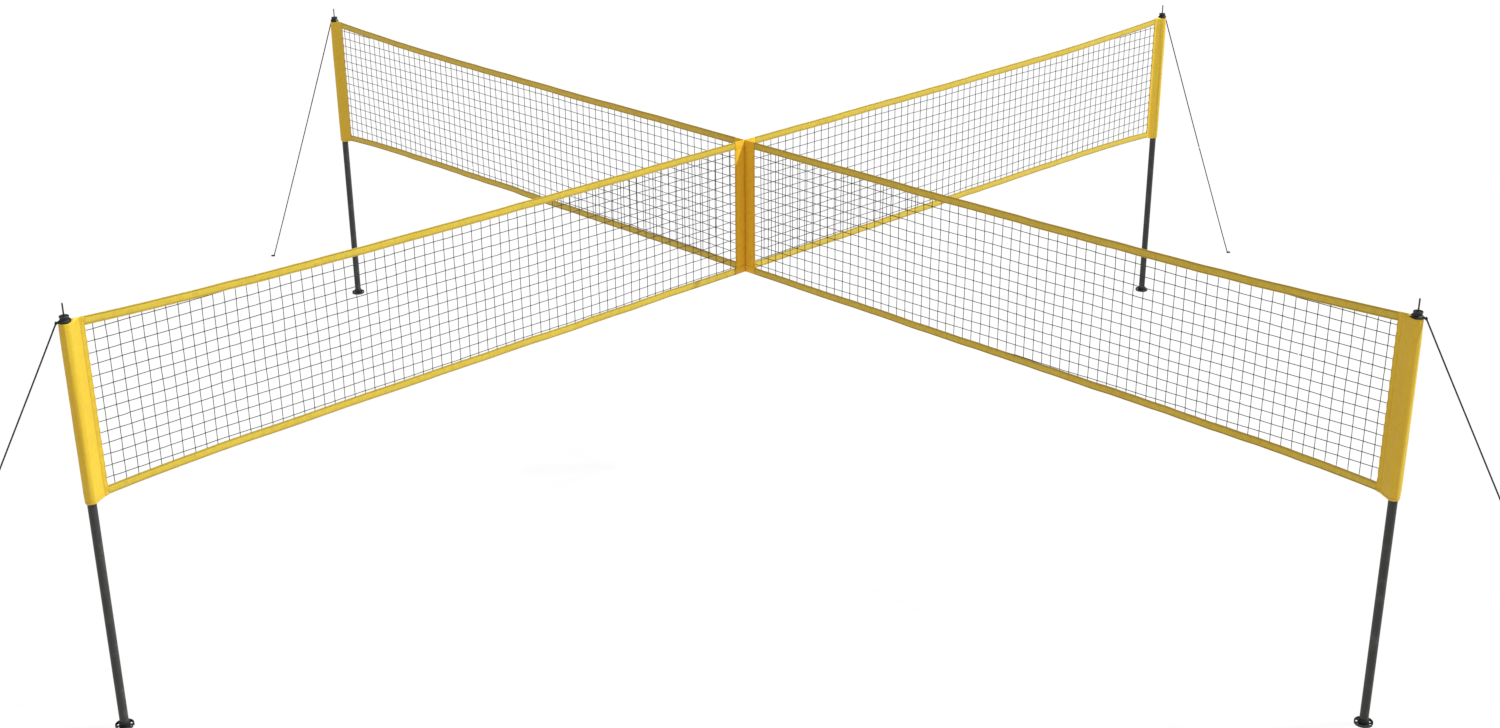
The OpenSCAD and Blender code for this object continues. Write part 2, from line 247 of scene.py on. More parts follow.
class Nodes:
    """A few words for building a shader."""

    def __init__(self, name):
        self.material = bpy.data.materials.new(name)
        self.material.use_nodes = True
        self.tree = self.material.node_tree
        self.tree.nodes.clear()
        self.out = self.tree.nodes.new("ShaderNodeOutputMaterial")
        self.shader = self.tree.nodes.new("ShaderNodeBsdfPrincipled")
        self.tree.links.new(self.shader.outputs[0], self.out.inputs["Surface"])

    def node(self, kind, **values):
        n = self.tree.nodes.new(kind)
        for k, v in values.items():
            setattr(n, k, v)
        return n

    def put(self, value, socket):
        if isinstance(value, bpy.types.NodeSocket):
            self.tree.links.new(value, socket)
        else:
            socket.default_value = value

    def math(self, op, a, b=0.0, clamp=False):
        n = self.node("ShaderNodeMath", operation=op, use_clamp=clamp)
        self.put(a, n.inputs[0])
        self.put(b, n.inputs[1])
        return n.outputs[0]

    def uv(self):
        n = self.node("ShaderNodeUVMap", uv_map="Metres")
        s = self.node("ShaderNodeSeparateXYZ")
        self.tree.links.new(n.outputs[0], s.inputs[0])
        return n.outputs[0], s.outputs[0], s.outputs[1]

    def place(self, scale=(1, 1, 1)):
        """Object coordinates, stretched."""
        c = self.node("ShaderNodeTexCoord")
        m = self.node("ShaderNodeMapping")
        m.inputs["Scale"].default_value = scale
        self.tree.links.new(c.outputs["Object"], m.inputs["Vector"])
        return m.outputs[0]

    def noise(self, vector, scale, detail=3.0, rough=0.55, distortion=0.0):
        n = self.node("ShaderNodeTexNoise")
        n.inputs["Scale"].default_value = scale
        n.inputs["Detail"].default_value = detail
        n.inputs["Roughness"].default_value = rough
        n.inputs["Distortion"].default_value = distortion
        self.tree.links.new(vector, n.inputs["Vector"])
        return n.outputs["Fac"]

    def ramp(self, fac, stops):
        """stops: (position, grey or colour) pairs."""
        n = self.node("ShaderNodeValToRGB")
        e = n.color_ramp.elements
        while len(e) < len(stops):
            e.new(0.5)
        for x, (at, value) in zip(e, stops):
            x.position = at
            x.color = (value, value, value, 1) if isinstance(value, (int, float)) else (*value, 1)
        self.tree.links.new(fac, n.inputs[0])
        return n.outputs[0]

    def mix(self, fac, a, b, how="MIX"):
        n = self.node("ShaderNodeMix", data_type="RGBA", blend_type=how)
        self.put(fac, n.inputs[0])
        self.put(a if isinstance(a, bpy.types.NodeSocket) else (*a, 1), n.inputs[6])
        self.put(b if isinstance(b, bpy.types.NodeSocket) else (*b, 1), n.inputs[7])
        return n.outputs[2]

    def bump(self, height, distance, strength, normal=None):
        n = self.node("ShaderNodeBump")
        n.inputs["Distance"].default_value = distance
        n.inputs["Strength"].default_value = strength
        self.tree.links.new(height, n.inputs["Height"])
        if normal is not None:
            self.tree.links.new(normal, n.inputs["Normal"])
        return n.outputs[0]

    def set(self, **values):
        for k, v in values.items():
            self.put(v, self.shader.inputs[k.replace("_", " ")])
        return self.material

    def wave(self, x, pitch, phase=0.0):
        """sin of x over pitch, from -1 to 1."""
        return self.math("SINE", self.math("ADD", self.math("MULTIPLY", x, 2 * math.pi / pitch), phase))


def fabric(name, colour, worn, deep, pitch=0.0011, weave=0.35, soft=0.35, shade=0.62, mottle=0.30):
    """Coated woven polyester: plain weave, a few soft creases and uneven fading, with painted shade, taken from the
    mark attribute, in the stitched channels, seams, folds and hems.
    """
    m = Nodes(name)
    uv, u, v = m.uv()
    weave_h = m.math("MULTIPLY", m.wave(u, 2 * pitch), m.wave(v, 2 * pitch))
    rib = m.math("MULTIPLY", m.math("ABSOLUTE", m.wave(u, 2 * pitch, 0.6)), 0.5)
    threads = m.math("ADD", weave_h, rib)
    wide = m.noise(m.place(), 2.3, 4.0, 0.6)
    fine = m.noise(m.place(), 34.0, 3.0, 0.6)
    slub = m.noise(m.place((1.0, 1.0, 9.0)), 260.0, 2.0, 0.7)
    mark = m.node("ShaderNodeAttribute", attribute_name="mark").outputs["Fac"]
    c = m.mix(m.ramp(wide, [(0.34, 0.0), (0.70, 1.0)]), colour, worn)
    c = m.mix(m.math("MULTIPLY", m.ramp(fine, [(0.42, 0.0), (0.78, 1.0)]), mottle), c, deep)
    c = m.mix(m.math("MULTIPLY", m.math("ADD", m.math("MULTIPLY", threads, 0.5), 0.5), 0.10), c, deep)
    # painted shade: the mark attribute darkens the cloth toward the deep colour in channels, seams, folds and hems
    c = m.mix(m.math("MULTIPLY", mark, shade, True), c, deep)
    crease = m.noise(m.place((1.0, 1.0, 0.45)), 21.0, 3.0, 0.5, 0.6)
    n = m.bump(crease, 0.0028, soft)
    n = m.bump(slub, 0.00025, 0.20, n)
    n = m.bump(threads, 0.00011, weave, n)
    rough = m.ramp(fine, [(0.3, 0.56), (0.75, 0.70)])
    return m.set(Base_Color=c, Roughness=rough, Normal=n, Specular_IOR_Level=0.28, Sheen_Weight=0.10, Sheen_Roughness=0.45)


def twine(name, colour, light, turn, gloss=0.25):
    """Twisted or braided yarn on a tube: u runs along it in metres, v is from 0 to 1 round it."""
    m = Nodes(name)
    uv, u, v = m.uv()
    along = m.math("MULTIPLY", u, 2 * math.pi / turn)
    round_it = m.math("MULTIPLY", v, 2 * math.pi)
    one = m.math("SINE", m.math("ADD", along, m.math("MULTIPLY", round_it, 4.0)))
    two = m.math("SINE", m.math("SUBTRACT", along, m.math("MULTIPLY", round_it, 4.0)))
    braid = m.math("MAXIMUM", one, two)
    fluff = m.noise(m.place(), 700.0, 2.0, 0.7)
    patch = m.noise(m.place(), 7.0, 3.0, 0.6)
    c = m.mix(m.ramp(patch, [(0.35, 0.0), (0.7, 1.0)]), colour, light)
    # painted shade: the braid's grooves are darkened in the colour
    c = m.mix(m.math("MULTIPLY", m.math("ADD", m.math("MULTIPLY", braid, 0.5), 0.5), 0.35), m.mix(0.5, c, (0.0, 0.0, 0.0)), c)
    n = m.bump(fluff, 0.0002, 0.3)
    n = m.bump(braid, 0.0004, 0.55, n)
    return m.set(Base_Color=c, Roughness=0.72, Normal=n, Specular_IOR_Level=gloss, Sheen_Weight=0.12, Sheen_Roughness=0.5)


def powder_coat(name, colour, light):
    """Powder-coated steel tube: fine orange peel, faint rubs along it and a little dust."""
    m = Nodes(name)
    peel = m.noise(m.place(), 900.0, 2.0, 0.5)
    rubs = m.noise(m.place((60.0, 60.0, 1.6)), 5.0, 4.0, 0.65)
    dust = m.noise(m.place(), 11.0, 5.0, 0.62)
    c = m.mix(m.ramp(rubs, [(0.40, 0.0), (0.78, 1.0)]), colour, light)
    c = m.mix(m.math("MULTIPLY", m.ramp(dust, [(0.50, 0.0), (0.82, 1.0)]), 0.35), c, (0.16, 0.155, 0.14))
    rough = m.ramp(rubs, [(0.3, 0.42), (0.8, 0.58)])
    n = m.bump(peel, 0.00016, 0.35)
    n = m.bump(rubs, 0.0002, 0.12, n)
    return m.set(Base_Color=c, Roughness=rough, Normal=n, Specular_IOR_Level=0.30)


def moulded(name, colour, light):
    """Matt moulded plastic with a fine spark-eroded grain and rubbed high spots."""
    m = Nodes(name)
    grain = m.noise(m.place(), 1500.0, 2.0, 0.55)
    flow = m.noise(m.place(), 48.0, 4.0, 0.6)
    edge = m.node("ShaderNodeNewGeometry").outputs["Pointiness"]
    c = m.mix(m.ramp(flow, [(0.38, 0.0), (0.75, 1.0)]), colour, light)
    c = m.mix(m.math("MULTIPLY", m.ramp(edge, [(0.51, 0.0), (0.60, 1.0)]), 0.5), c, (0.05, 0.05, 0.049))
    rough = m.ramp(flow, [(0.3, 0.44), (0.8, 0.60)])
    n = m.bump(grain, 0.0002, 0.35)
    n = m.bump(flow, 0.0005, 0.12, n)
    return m.set(Base_Color=c, Roughness=rough, Normal=n, Specular_IOR_Level=0.26)


def coated_pin(name, colour, light):
    """Black-coated steel pin, rubbed along its length by the fittings that slide over it."""
    m = Nodes(name)
    rub = m.noise(m.place((260.0, 260.0, 24.0)), 1.0, 4.0, 0.7)
    c = m.mix(m.ramp(rub, [(0.48, 0.0), (0.80, 1.0)]), colour, light)
    n = m.bump(rub, 0.0001, 0.25)
    return m.set(Base_Color=c, Roughness=m.ramp(rub, [(0.3, 0.34), (0.8, 0.5)]), Normal=n, Metallic=0.35, Specular_IOR_Level=0.4)


def sprung(name):
    m = Nodes(name)
    roll = m.noise(m.place((900.0, 900.0, 30.0)), 1.0, 3.0, 0.6)
    c = m.mix(roll, (0.50, 0.50, 0.51), (0.66, 0.65, 0.63))
    return m.set(Base_Color=c, Roughness=m.ramp(roll, [(0.3, 0.24), (0.8, 0.4)]), Metallic=1.0, Normal=m.bump(roll, 0.0001, 0.3))


YELLOW = fabric("yellow_fabric", (0.668, 0.418, 0.023), (0.692, 0.444, 0.027), (0.41, 0.222, 0.011), soft=0.22, mottle=0.14)
TAPE = fabric("yellow_tape", (0.60, 0.415, 0.037), (0.645, 0.455, 0.047), (0.31, 0.170, 0.010), pitch=0.0009, weave=0.45, soft=0.25, shade=0.85)
# painted shade: the column's cloth is the sleeves' yellow given a more orange base, standing in for the shade and
# bounced light between its flaps
COLUMN_PAINTED_SHADE = fabric("column_fabric_painted_shade", (0.84, 0.455, 0.014), (0.88, 0.50, 0.020), (0.50, 0.24, 0.008))
THREAD = twine("stitch_thread", (0.50, 0.31, 0.018), (0.56, 0.36, 0.022), 0.0016)
TWINE = twine("net_twine", (0.026, 0.027, 0.029), (0.046, 0.047, 0.050), 0.010)
ROPE = twine("guy_rope", (0.010, 0.010, 0.0105), (0.020, 0.020, 0.0205), 0.012)
POLE = powder_coat("pole_coat", (0.028, 0.0275, 0.0255), (0.042, 0.0415, 0.039))
BLACK = moulded("moulded_black", (0.0085, 0.0085, 0.009), (0.017, 0.017, 0.017))
PIN = coated_pin("coated_pin", (0.020, 0.020, 0.021), (0.10, 0.10, 0.10))
SPRING = sprung("spring_steel")


# ------------------------------------------------------------- the guy ropes

ROPE_D = 0.008
ROUTE = [(0.043, 2.229), (0.188, 1.959), (0.334, 1.690), (0.479, 1.422), (0.625, 1.155),
         (0.770, 0.890), (0.916, 0.625), (1.085, 0.318), (1.255, 0.013)]
TURN = (0.0, 0.0, -10.0, 13.0)     # each rope's angle off the line of its arm
CAP_Z = POLE_TOP + 0.0025
EYE_Z = CAP_Z + 0.0042
EYE_R = 0.0266
KNOT = (0.040, EYE_Z)
END_KNOT = (1.258, 0.0096)
LOOP = (1.2805, 0.0041, 0.010)


def teardrop(x, y, r, tip, n=72):
    """A loop round (x, y) of radius r that runs in to a tip on the same line."""
    away = 1 if tip > x else -1
    d = abs(tip - x)
    a0 = math.acos(min(0.999, r / d))
    a = np.linspace(a0, 2 * math.pi - a0, n)
    ring = np.stack([x + away * r * np.cos(a), y + r * np.sin(a)], -1)
    k = np.linspace(0, 1, 9)[1:, None]
    tip_at = np.array([[tip, y]])
    return np.concatenate([(tip_at * (1 - k) + ring[:1] * k)[:-1], ring, ring[-1:] * (1 - k) + tip_at * k])


def knot(shape, at, along, r_rope, turns=2.6, coil=0.0038, pitch=0.0050):
    """A stopper knot: turns of rope wound on the rope's own line, and its short tail."""
    t = unit(np.asarray(along, float))
    side = np.array([0.0, 1.0, 0.0])
    up = np.cross(t, side)
    a = np.linspace(-math.pi * turns, math.pi * turns, 60)
    centre = np.asarray(at, float) + np.outer(a / (2 * math.pi) * pitch, t)
    lift = coil * np.clip((1.06 - np.abs(a) / (math.pi * turns)) * 4.5, 0.15, 1.0)[:, None]
    path = centre + lift * (np.outer(np.cos(a), side) + np.outer(np.sin(a), up))
    shape.tube(path, r_rope * 0.93, 10, t)
    return shape


ropes = []
for i, side in enumerate(SIDES):
    line = catmull(ROUTE, 400)
    centre = resample(np.stack([ARM + line[:, 0], np.zeros(len(line)), line[:, 1]], -1), 0.006)
    rope = Shape().tube(centre, ROPE_D / 2, 12, (0, 1, 0)).build(f"guy_line_{side}", ROPE, i, TURN[i])
    world = to_world(i, turned(centre, TURN[i]))
    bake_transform(rope)
    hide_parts(f"guy_rope_{side}")

    eye = Shape()
    loop = teardrop(ARM, 0.0, EYE_R, ARM + KNOT[0])
    eye_path = np.stack([loop[:, 0], loop[:, 1], np.full(len(loop), EYE_Z)], -1)
    eye.tube(eye_path, ROPE_D / 2 * 0.97, 12, (0, 0, 1))
    knot(eye, (ARM + KNOT[0] + 0.0005, 0, EYE_Z - 0.0002), (0.52, 0, -0.85), ROPE_D / 2, turns=1.7, coil=0.0038, pitch=0.0060)
    eye = eye.build(f"guy_eye_loop_{side}", ROPE, i, TURN[i])
    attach(eye, "raised_net")
    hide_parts(f"guy_eye_{side}")

    end = Shape()
    loop = teardrop(ARM + LOOP[0], 0.0, LOOP[2], ARM + END_KNOT[0] + 0.001)
    end_path = np.stack([loop[:, 0], loop[:, 1], np.full(len(loop), LOOP[1])], -1)
    near = np.clip(1 - (end_path[:, 0] - (ARM + END_KNOT[0])) / 0.012, 0, 1)
    end_path[:, 2] += near * 0.0052
    end.tube(end_path, ROPE_D / 2 * 0.97, 12, (0, 0, 1))
    knot(end, (ARM + END_KNOT[0], 0, END_KNOT[1]), (0.62, 0, -0.40), ROPE_D / 2, turns=1.9, coil=0.0040, pitch=0.0058)
    end = end.build(f"ground_loop_{side}", ROPE, i, TURN[i])
    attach(end, "ground_posts")
    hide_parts(f"rope_end_{side}")

    ropes.append(rope)


# ----------------------------------------------------------- the net's field

class Panel:
    """What one arm's net does: how its cloth and twine lie off the flat plane, and how its edges wander."""

    def __init__(self, i):
        self.i = i
        self.rng = np.random.default_rng(4100 + 17 * i)
        self.side_a = waves(self.rng, 4, 0.55, 2.4)
        self.side_b = waves(self.rng, 4, 0.45, 1.6)
        self.top_w = waves(self.rng, 4, 0.18, 0.8)
        self.bot_w = waves(self.rng, 4, 0.18, 0.8)

    def hold(self, s):
        """0 at the sleeve and at the centre column, 1 between."""
        t = np.clip((np.asarray(s) - FLAP_W) / (SLEEVE_IN - FLAP_W), 0, 1)
        return np.clip(np.sin(math.pi * t) * 2.2, 0, 1)

    def off(self, s, z):
        """Sideways distance off the flat plane."""
        t = (np.asarray(z) - 1.30) / 0.93
        return self.hold(s) * (0.0045 * self.side_a(s) * (0.4 + 0.6 * t) + 0.0055 * self.side_b(np.asarray(s) + 0.6 * t) * (1 - t))

    def top(self, s):
        return z_top(s) + 0.0011 * self.hold(s) * self.top_w(s)

    def bot(self, s):
        return z_bot(s) + 0.0016 * self.hold(s) * self.bot_w(s)


panels = [Panel(i) for i in range(4)]


# -------------------------------------------------------------------- netting

TWINE_R = 0.0020

# Each panel's mesh: height of its first level twine and their pitch at the sleeve and at the column, then
# the first upright twine's distance from the centre, their pitch and how many there are.
MESH = ((2.168, 0.0588, 2.170, 0.0613, 4.354, 0.0654, 65), (2.173, 0.0590, 2.175, 0.0622, 4.374, 0.0642, 67),
        (2.162, 0.0598, 2.172, 0.0612, 4.366, 0.0642, 67), (2.167, 0.0578, 2.166, 0.0646, 4.370, 0.0631, 68))


def netting(panel):
    """Square mesh: upright twines and level twines cross and are bound together by a tight turn at every crossing."""
    rng = panel.rng
    z_sleeve, step_sleeve, z_column, step_column, first_up, step_up, n_v = MESH[panel.i]
    n_h = 14
    s0 = first_up - step_up * np.arange(n_v)
    k = np.arange(n_h)
    t = ((s0 - FLAP_W) / (SLEEVE_IN - FLAP_W))[:, None]
    z = (z_column - step_column * k) * (1 - t) + (z_sleeve - step_sleeve * k) * t
    sag = [waves(rng, 3, 0.4, 1.8) for _ in k]
    z = z + np.stack([0.0018 * w(s0) for w in sag], 1) + rng.normal(0, 0.0004, z.shape)
    lean = [waves(rng, 2, 0.4, 1.4) for _ in range(n_v)]
    s = s0[:, None] + np.stack([0.0020 * w(z[j]) for j, w in enumerate(lean)]) + rng.normal(0, 0.0004, z.shape)
    top, bot = panel.top(s0), panel.bot(s0)
    free = (z < top[:, None] - TAPE_H - 0.001) & (z > bot[:, None] + TAPE_H + 0.001)
    tied = (z < top[:, None] - TAPE_H - 0.007) & (z > bot[:, None] + TAPE_H + 0.007)
    shape = Shape()
    r = TWINE_R
    for j in range(n_v):
        rows = np.nonzero(free[j])[0]
        ps = np.r_[s[j, rows[0]], s[j, rows], s[j, rows[-1]]]
        pz = np.r_[top[j] - 0.034, z[j, rows], bot[j] + 0.034]
        face = np.r_[0, np.where(rows % 2, 1, -1), 0]
        # five points a cell, because the bindings pinch the twine
        cell = np.concatenate([c + np.array([0.0, 0.08, 0.36, 0.64, 0.92]) for c in range(len(ps) - 1)] + [[len(ps) - 1.0]])
        at = np.arange(len(ps))
        ls, lz = np.interp(cell, at, ps), np.interp(cell, at, pz)
        between = np.abs(cell % 1 - 0.5) < 0.3
        bow = np.sin(math.pi * (cell % 1)) * np.interp(cell, at + 0.5, rng.normal(0, 0.0004, len(at)))
        ls = ls + bow + np.where(between, rng.normal(0, 0.0002, len(ls)), 0)
        crossing = (cell % 1 < 0.01) & (cell > 0.5) & (cell < len(ps) - 1.5)
        ln = panel.off(ls, lz) + np.where(crossing, np.interp(cell, at, face) * 0.62 * r, 0)
        thick = np.where(crossing, 0.80, 1.0) * r
        thick = np.where((lz > top[j] - TAPE_H) | (lz < bot[j] + TAPE_H), 0.0011, thick)
        shape.tube(np.stack([ls, ln, lz], -1), thick, 6, (0, 1, 0))
    for row in range(n_h):
        cols = np.nonzero(free[:, row])[0]
        if not len(cols):
            continue
        pts, girth = [], []
        side = -1 if row % 2 else 1
        # from the sleeve inwards, so outward distance falls along the strand
        first, last = cols[0], cols[-1]
        if first == 0:
            pts.append([[SLEEVE_IN + 0.012, 0.0, z[0, row]], [SLEEVE_IN, 0.0, z[0, row] + 0.0003], [SLEEVE_IN - 0.005, 0.0, z[0, row] + 0.0003]])
            girth += [0.5, 0.55, 0.95]
        else:
            pts.append([[s[first - 1, row], 0.0, z[first - 1, row]]])
            girth += [0.5]
        for j in cols:
            a, b = s[j, row], z[j, row]
            o = float(panel.off(a, b))
            pts.append([[a, o + side * 0.62 * r, b]])
            girth += [0.80 if tied[j, row] else 0.7]
            nxt = min(j + 1, n_v - 1)
            if nxt != j and free[nxt, row]:
                f = np.array([0.10, 0.36, 0.64, 0.90])
                ms, mz = a + (s[nxt, row] - a) * f, b + (z[nxt, row] - b) * f
                mz = mz + np.sin(math.pi * f) * rng.normal(-0.0003, 0.0006)
                pts.append(np.stack([ms, panel.off(ms, mz) + side * 0.25 * r, mz], -1))
                girth += [1.0] * 4
        if last == n_v - 1:
            pts.append([[FLAP_W + 0.005, 0.0, z[last, row]], [FLAP_W, 0.0, z[last, row]], [FLAP_W - 0.012, 0.0, z[last, row]]])
            girth += [0.95, 0.55, 0.5]
        else:
            pts.append([[s[last + 1, row], 0.0, z[last + 1, row]]])
            girth += [0.5]
        shape.tube(np.concatenate([np.asarray(p, float) for p in pts]), np.array(girth) * r, 6, (0, 0, 1))
    # the bindings: one slanting ring round each crossing
    jj, rr = np.nonzero(tied)
    a, b = s[jj, rr], z[jj, rr]
    o = panel.off(a, b)
    slant = np.where((jj + rr) % 2, 1.0, -1.0)
    m, q = 10, 4
    phi = 2 * math.pi * np.arange(m) / m
    psi = 2 * math.pi * np.arange(q) / q
    major = np.stack([slant, np.zeros(len(a)), np.ones(len(a))], -1) / math.sqrt(2)
    minor = np.array([0.0, 1.0, 0.0])
    long, short, cord = 2.05 * r, 1.45 * r, 0.58 * r
    axis = np.cross(major, minor)
    centre = np.stack([a, o, b], -1)[:, None]
    ring = centre + long * np.cos(phi)[None, :, None] * major[:, None] + short * np.sin(phi)[None, :, None] * minor
    out = unit(np.cos(phi)[None, :, None] / long * major[:, None] + np.sin(phi)[None, :, None] / short * minor)
    tube = ring[:, :, None] + cord * (np.cos(psi)[None, None, :, None] * out[:, :, None] + np.sin(psi)[None, None, :, None] * axis[:, None, None])
    ra, rb = np.arange(m)[:, None], np.arange(q)[None, :]
    f = np.stack([ra * q + rb, ra * q + (rb + 1) % q, ((ra + 1) % m) * q + (rb + 1) % q, ((ra + 1) % m) * q + rb], -1).reshape(-1, 4)
    faces = (f[None] + (np.arange(len(a)) * m * q)[:, None, None]).reshape(-1, 4)
    uvs = np.stack([np.stack([ra * 0.0015 + 0 * rb, 0 * ra + rb / q], -1), np.stack([ra * 0.0015 + 0 * rb, 0 * ra + (rb + 1) / q], -1),
                    np.stack([(ra + 1) * 0.0015 + 0 * rb, 0 * ra + (rb + 1) / q], -1), np.stack([(ra + 1) * 0.0015 + 0 * rb, 0 * ra + rb / q], -1)], -2).reshape(-1, 4, 2)
    shape.add(tube, faces, np.tile(uvs, (len(a), 1, 1)))
    return shape


for i, side in enumerate(SIDES):
    net = netting(panels[i]).build(f"knotted_net_{side}", TWINE, i)
    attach(net, "raised_net")
    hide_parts(f"netting_{side}")


# --------------------------------------------------- tapes and their stitches

# One side of a folded tape: distance from the fold, distance of the cloth's middle from the plane, and how much painted
# shade the cloth gets there, at the fold, the stitched channels and the hem edge.
TAPE_SIDE = np.array([
    [0.0000, 0.00000, 0.8], [0.0003, 0.00105, 0.8], [0.0012, 0.00205, 0.8], [0.0027, 0.00250, 0.7],
    [0.0043, 0.00215, 0.7], [0.0058, 0.00150, 1.0], [0.0068, 0.00145, 1.0], [0.0084, 0.00180, 0.2],
    [0.0120, 0.00205, 0.0], [0.0180, 0.00222, 0.0], [0.0240, 0.00228, 0.0], [0.0300, 0.00218, 0.0],
    [0.0345, 0.00200, 0.0], [0.0372, 0.00168, 0.5], [0.0384, 0.00150, 1.0], [0.0396, 0.00165, 0.7],
    [0.0416, 0.00195, 0.5], [0.0436, 0.00198, 0.6], [0.0446, 0.00186, 0.8], [0.0450, 0.00170, 0.9]])
PLY = 0.00095


def tape(shape, panel, upper, s_from, s_to, step, wider=0.0, shade_strength=1.0):
    """A strip folded lengthwise over the net's edge and stitched along the fold and along its hems."""
    s = np.linspace(s_from, s_to, max(8, int(abs(s_to - s_from) / step)))
    half = TAPE_SIDE.copy()
    half[:, 1] += wider * np.clip(half[:, 0] / 0.002, 0, 1)
    d = np.r_[half[::-1, 0], half[1:, 0]]
    q = np.r_[-half[::-1, 1], half[1:, 1]]
    g = np.r_[half[::-1, 2], half[1:, 2]]
    across = np.r_[-half[::-1, 0], half[1:, 0]]
    puff = 1 + 0.16 * waves(panel.rng, 5, 0.03, 0.22)(s)[:, None] * np.where(g > 0.2, 0.2, 1.0)[None]
    edge = panel.top(s) if upper else panel.bot(s)
    z = edge[:, None] + (-d if upper else d)[None]
    hem = waves(panel.rng, 5, 0.05, 0.3)(s)[:, None] * 0.0005 * (d / TAPE_H)[None] ** 2
    z = z + hem
    n = panel.off(s[:, None] * np.ones_like(z), z) + q[None] * puff
    grid = np.stack([s[:, None] * np.ones_like(z), n, z], -1)
    thick = np.full(z.shape, PLY)
    thick[:, [0, -1]] *= 0.35
    # painted shade along the fold, the stitched channels and the hem, from the third column of TAPE_SIDE
    shape.sheet(grid, thick, s, across, shade_strength * g[None] * np.ones_like(z))
    return shape


def stitches(shape, at, along, out, length=0.0048, width=0.0011, height=0.00045, sink=0.0001):
    """One small bead of thread at each point."""
    at, along, out = (np.broadcast_to(np.asarray(x, float), np.shape(at)) for x in (at, along, out))
    along, out = unit(along), unit(out)
    across = np.cross(out, along)
    l, w, h = length / 2, width / 2, height
    form = np.array([[-l, 0, -h], [-l * .55, -w, -sink], [-l * .55, 0, h], [-l * .55, w, -sink],
                     [l * .55, -w, -sink], [l * .55, 0, h], [l * .55, w, -sink], [l, 0, -h]])
    tri = np.array([[0, 1, 2], [0, 2, 3], [7, 5, 4], [7, 6, 5]])
    quad = np.array([[1, 4, 5, 2], [2, 5, 6, 3]])
    v = (at[:, None] + form[None, :, :1] * along[:, None] + form[None, :, 1:2] * across[:, None] + form[None, :, 2:] * out[:, None])
    base = (np.arange(len(at)) * 8)[:, None, None]
    uv_form = np.stack([form[:, 0] + l, 0.5 + form[:, 1] / (2 * w) * 0.5], -1)
    shape.add(v, (base + quad[None]).reshape(-1, 4), np.tile(uv_form[quad], (len(at), 1, 1)))
    shape.add_also((base + tri[None]).reshape(-1, 3), np.tile(uv_form[tri], (len(at), 1, 1)))


def tape_stitches(shape, panel, upper, s_from, s_to, wider=0.0, pitch=0.0066):
    s = np.arange(s_from, s_to, pitch)
    edge = panel.top(s) if upper else panel.bot(s)
    for d, q in ((0.0063, 0.00148), (0.0384, 0.00150)):
        z = edge + (-d if upper else d)
        for face in (-1, 1):
            n = panel.off(s, z) + face * (q + wider + PLY / 2)
            p = np.stack([s, n, z], -1)
            stitches(shape, p, unit(np.gradient(p, axis=0)), (0, face, 0))


threads = []
for i, side in enumerate(SIDES):
    sewn = Shape()
    for upper, word in ((True, "top"), (False, "bottom")):
        # the head bands close the centre column's cloth over the tapes' ends
        head_in = 0.0006 if i % 2 else 0.0042
        # the head bands take the column's cloth with its painted orange shade
        head = tape(Shape(), panels[i], upper, head_in, FLAP_W + 0.0008, 0.006, 0.00125, 0.35).build(f"column_{word}_band_{side}", COLUMN_PAINTED_SHADE, i)
        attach(head, "raised_net")
        strip = tape(Shape(), panels[i], upper, FLAP_W - 0.006, SLEEVE_IN + 0.010, 0.018).build(f"{word}_tape_strip_{side}", TAPE, i)
        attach(strip, "raised_net")
        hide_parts(f"{word}_tape_{side}")
        tape_stitches(sewn, panels[i], upper, FLAP_W + 0.006, SLEEVE_IN - 0.003)
    threads.append(sewn)


# ------------------------------------------------------------ centre column

def flap(panel):
    """A band of doubled cloth over the end of a panel. The four bands are sewn together along the centre line."""
    # last column: painted shade along the centre seam, the stitch line and the outer edge
    side = np.array([[0.0008, 0.0003, 1.0], [0.0022, 0.0015, 0.9], [0.0042, 0.0018, 0.5], [0.0066, 0.0014, 1.0], [0.0090, 0.0017, 0.3],
                     [0.0140, 0.0020, 0.0], [0.0240, 0.00235, 0.0], [0.0360, 0.0025, 0.0], [0.0480, 0.0025, 0.0], [0.0600, 0.00235, 0.0],
                     [0.0700, 0.0021, 0.0], [0.0752, 0.0017, 0.5], [0.0768, 0.00155, 1.0], [0.0784, 0.0017, 0.5], [0.0812, 0.0020, 0.1],
                     [0.0838, 0.0020, 0.3], [0.0846, 0.0019, 0.6], [0.0850, 0.0018, 0.9]])
    w = np.r_[side[::-1, 0], side[:, 0]]
    q = np.r_[-side[::-1, 1], side[:, 1]]
    g = np.r_[side[::-1, 2], side[:, 2]]
    across = np.r_[-side[::-1, 0], side[:, 0]]
    v = np.r_[np.linspace(0, 0.05, 7), np.linspace(0.05, 0.95, 64)[1:-1], np.linspace(0.95, 1, 7)]
    lo, hi = z_bot(w) + 0.0015, z_top(w) - 0.0015
    z = lo[None] + v[:, None] * (hi - lo)[None]
    ripple = waves(panel.rng, 5, 0.07, 0.4)(z[:, :1]) * 0.0006
    edge = waves(panel.rng, 5, 0.06, 0.3)(z[:, :1]) * 0.0006 * (w / FLAP_W)[None] ** 2
    in_band = np.clip((0.046 - np.minimum(z - lo, hi - z)) / 0.004, 0, 1)
    n = q[None] * (1 - 0.25 * in_band) + ripple * np.sign(q)[None] * np.sin(math.pi * (w / FLAP_W))[None]
    grid = np.stack([w[None] + edge, n, z], -1)
    thick = np.full(z.shape, 0.0012)
    thick[:, [0, -1]] *= 0.35
    return Shape().sheet(grid, thick, z[:, 0], across, g[None] * np.ones_like(z)), w, q


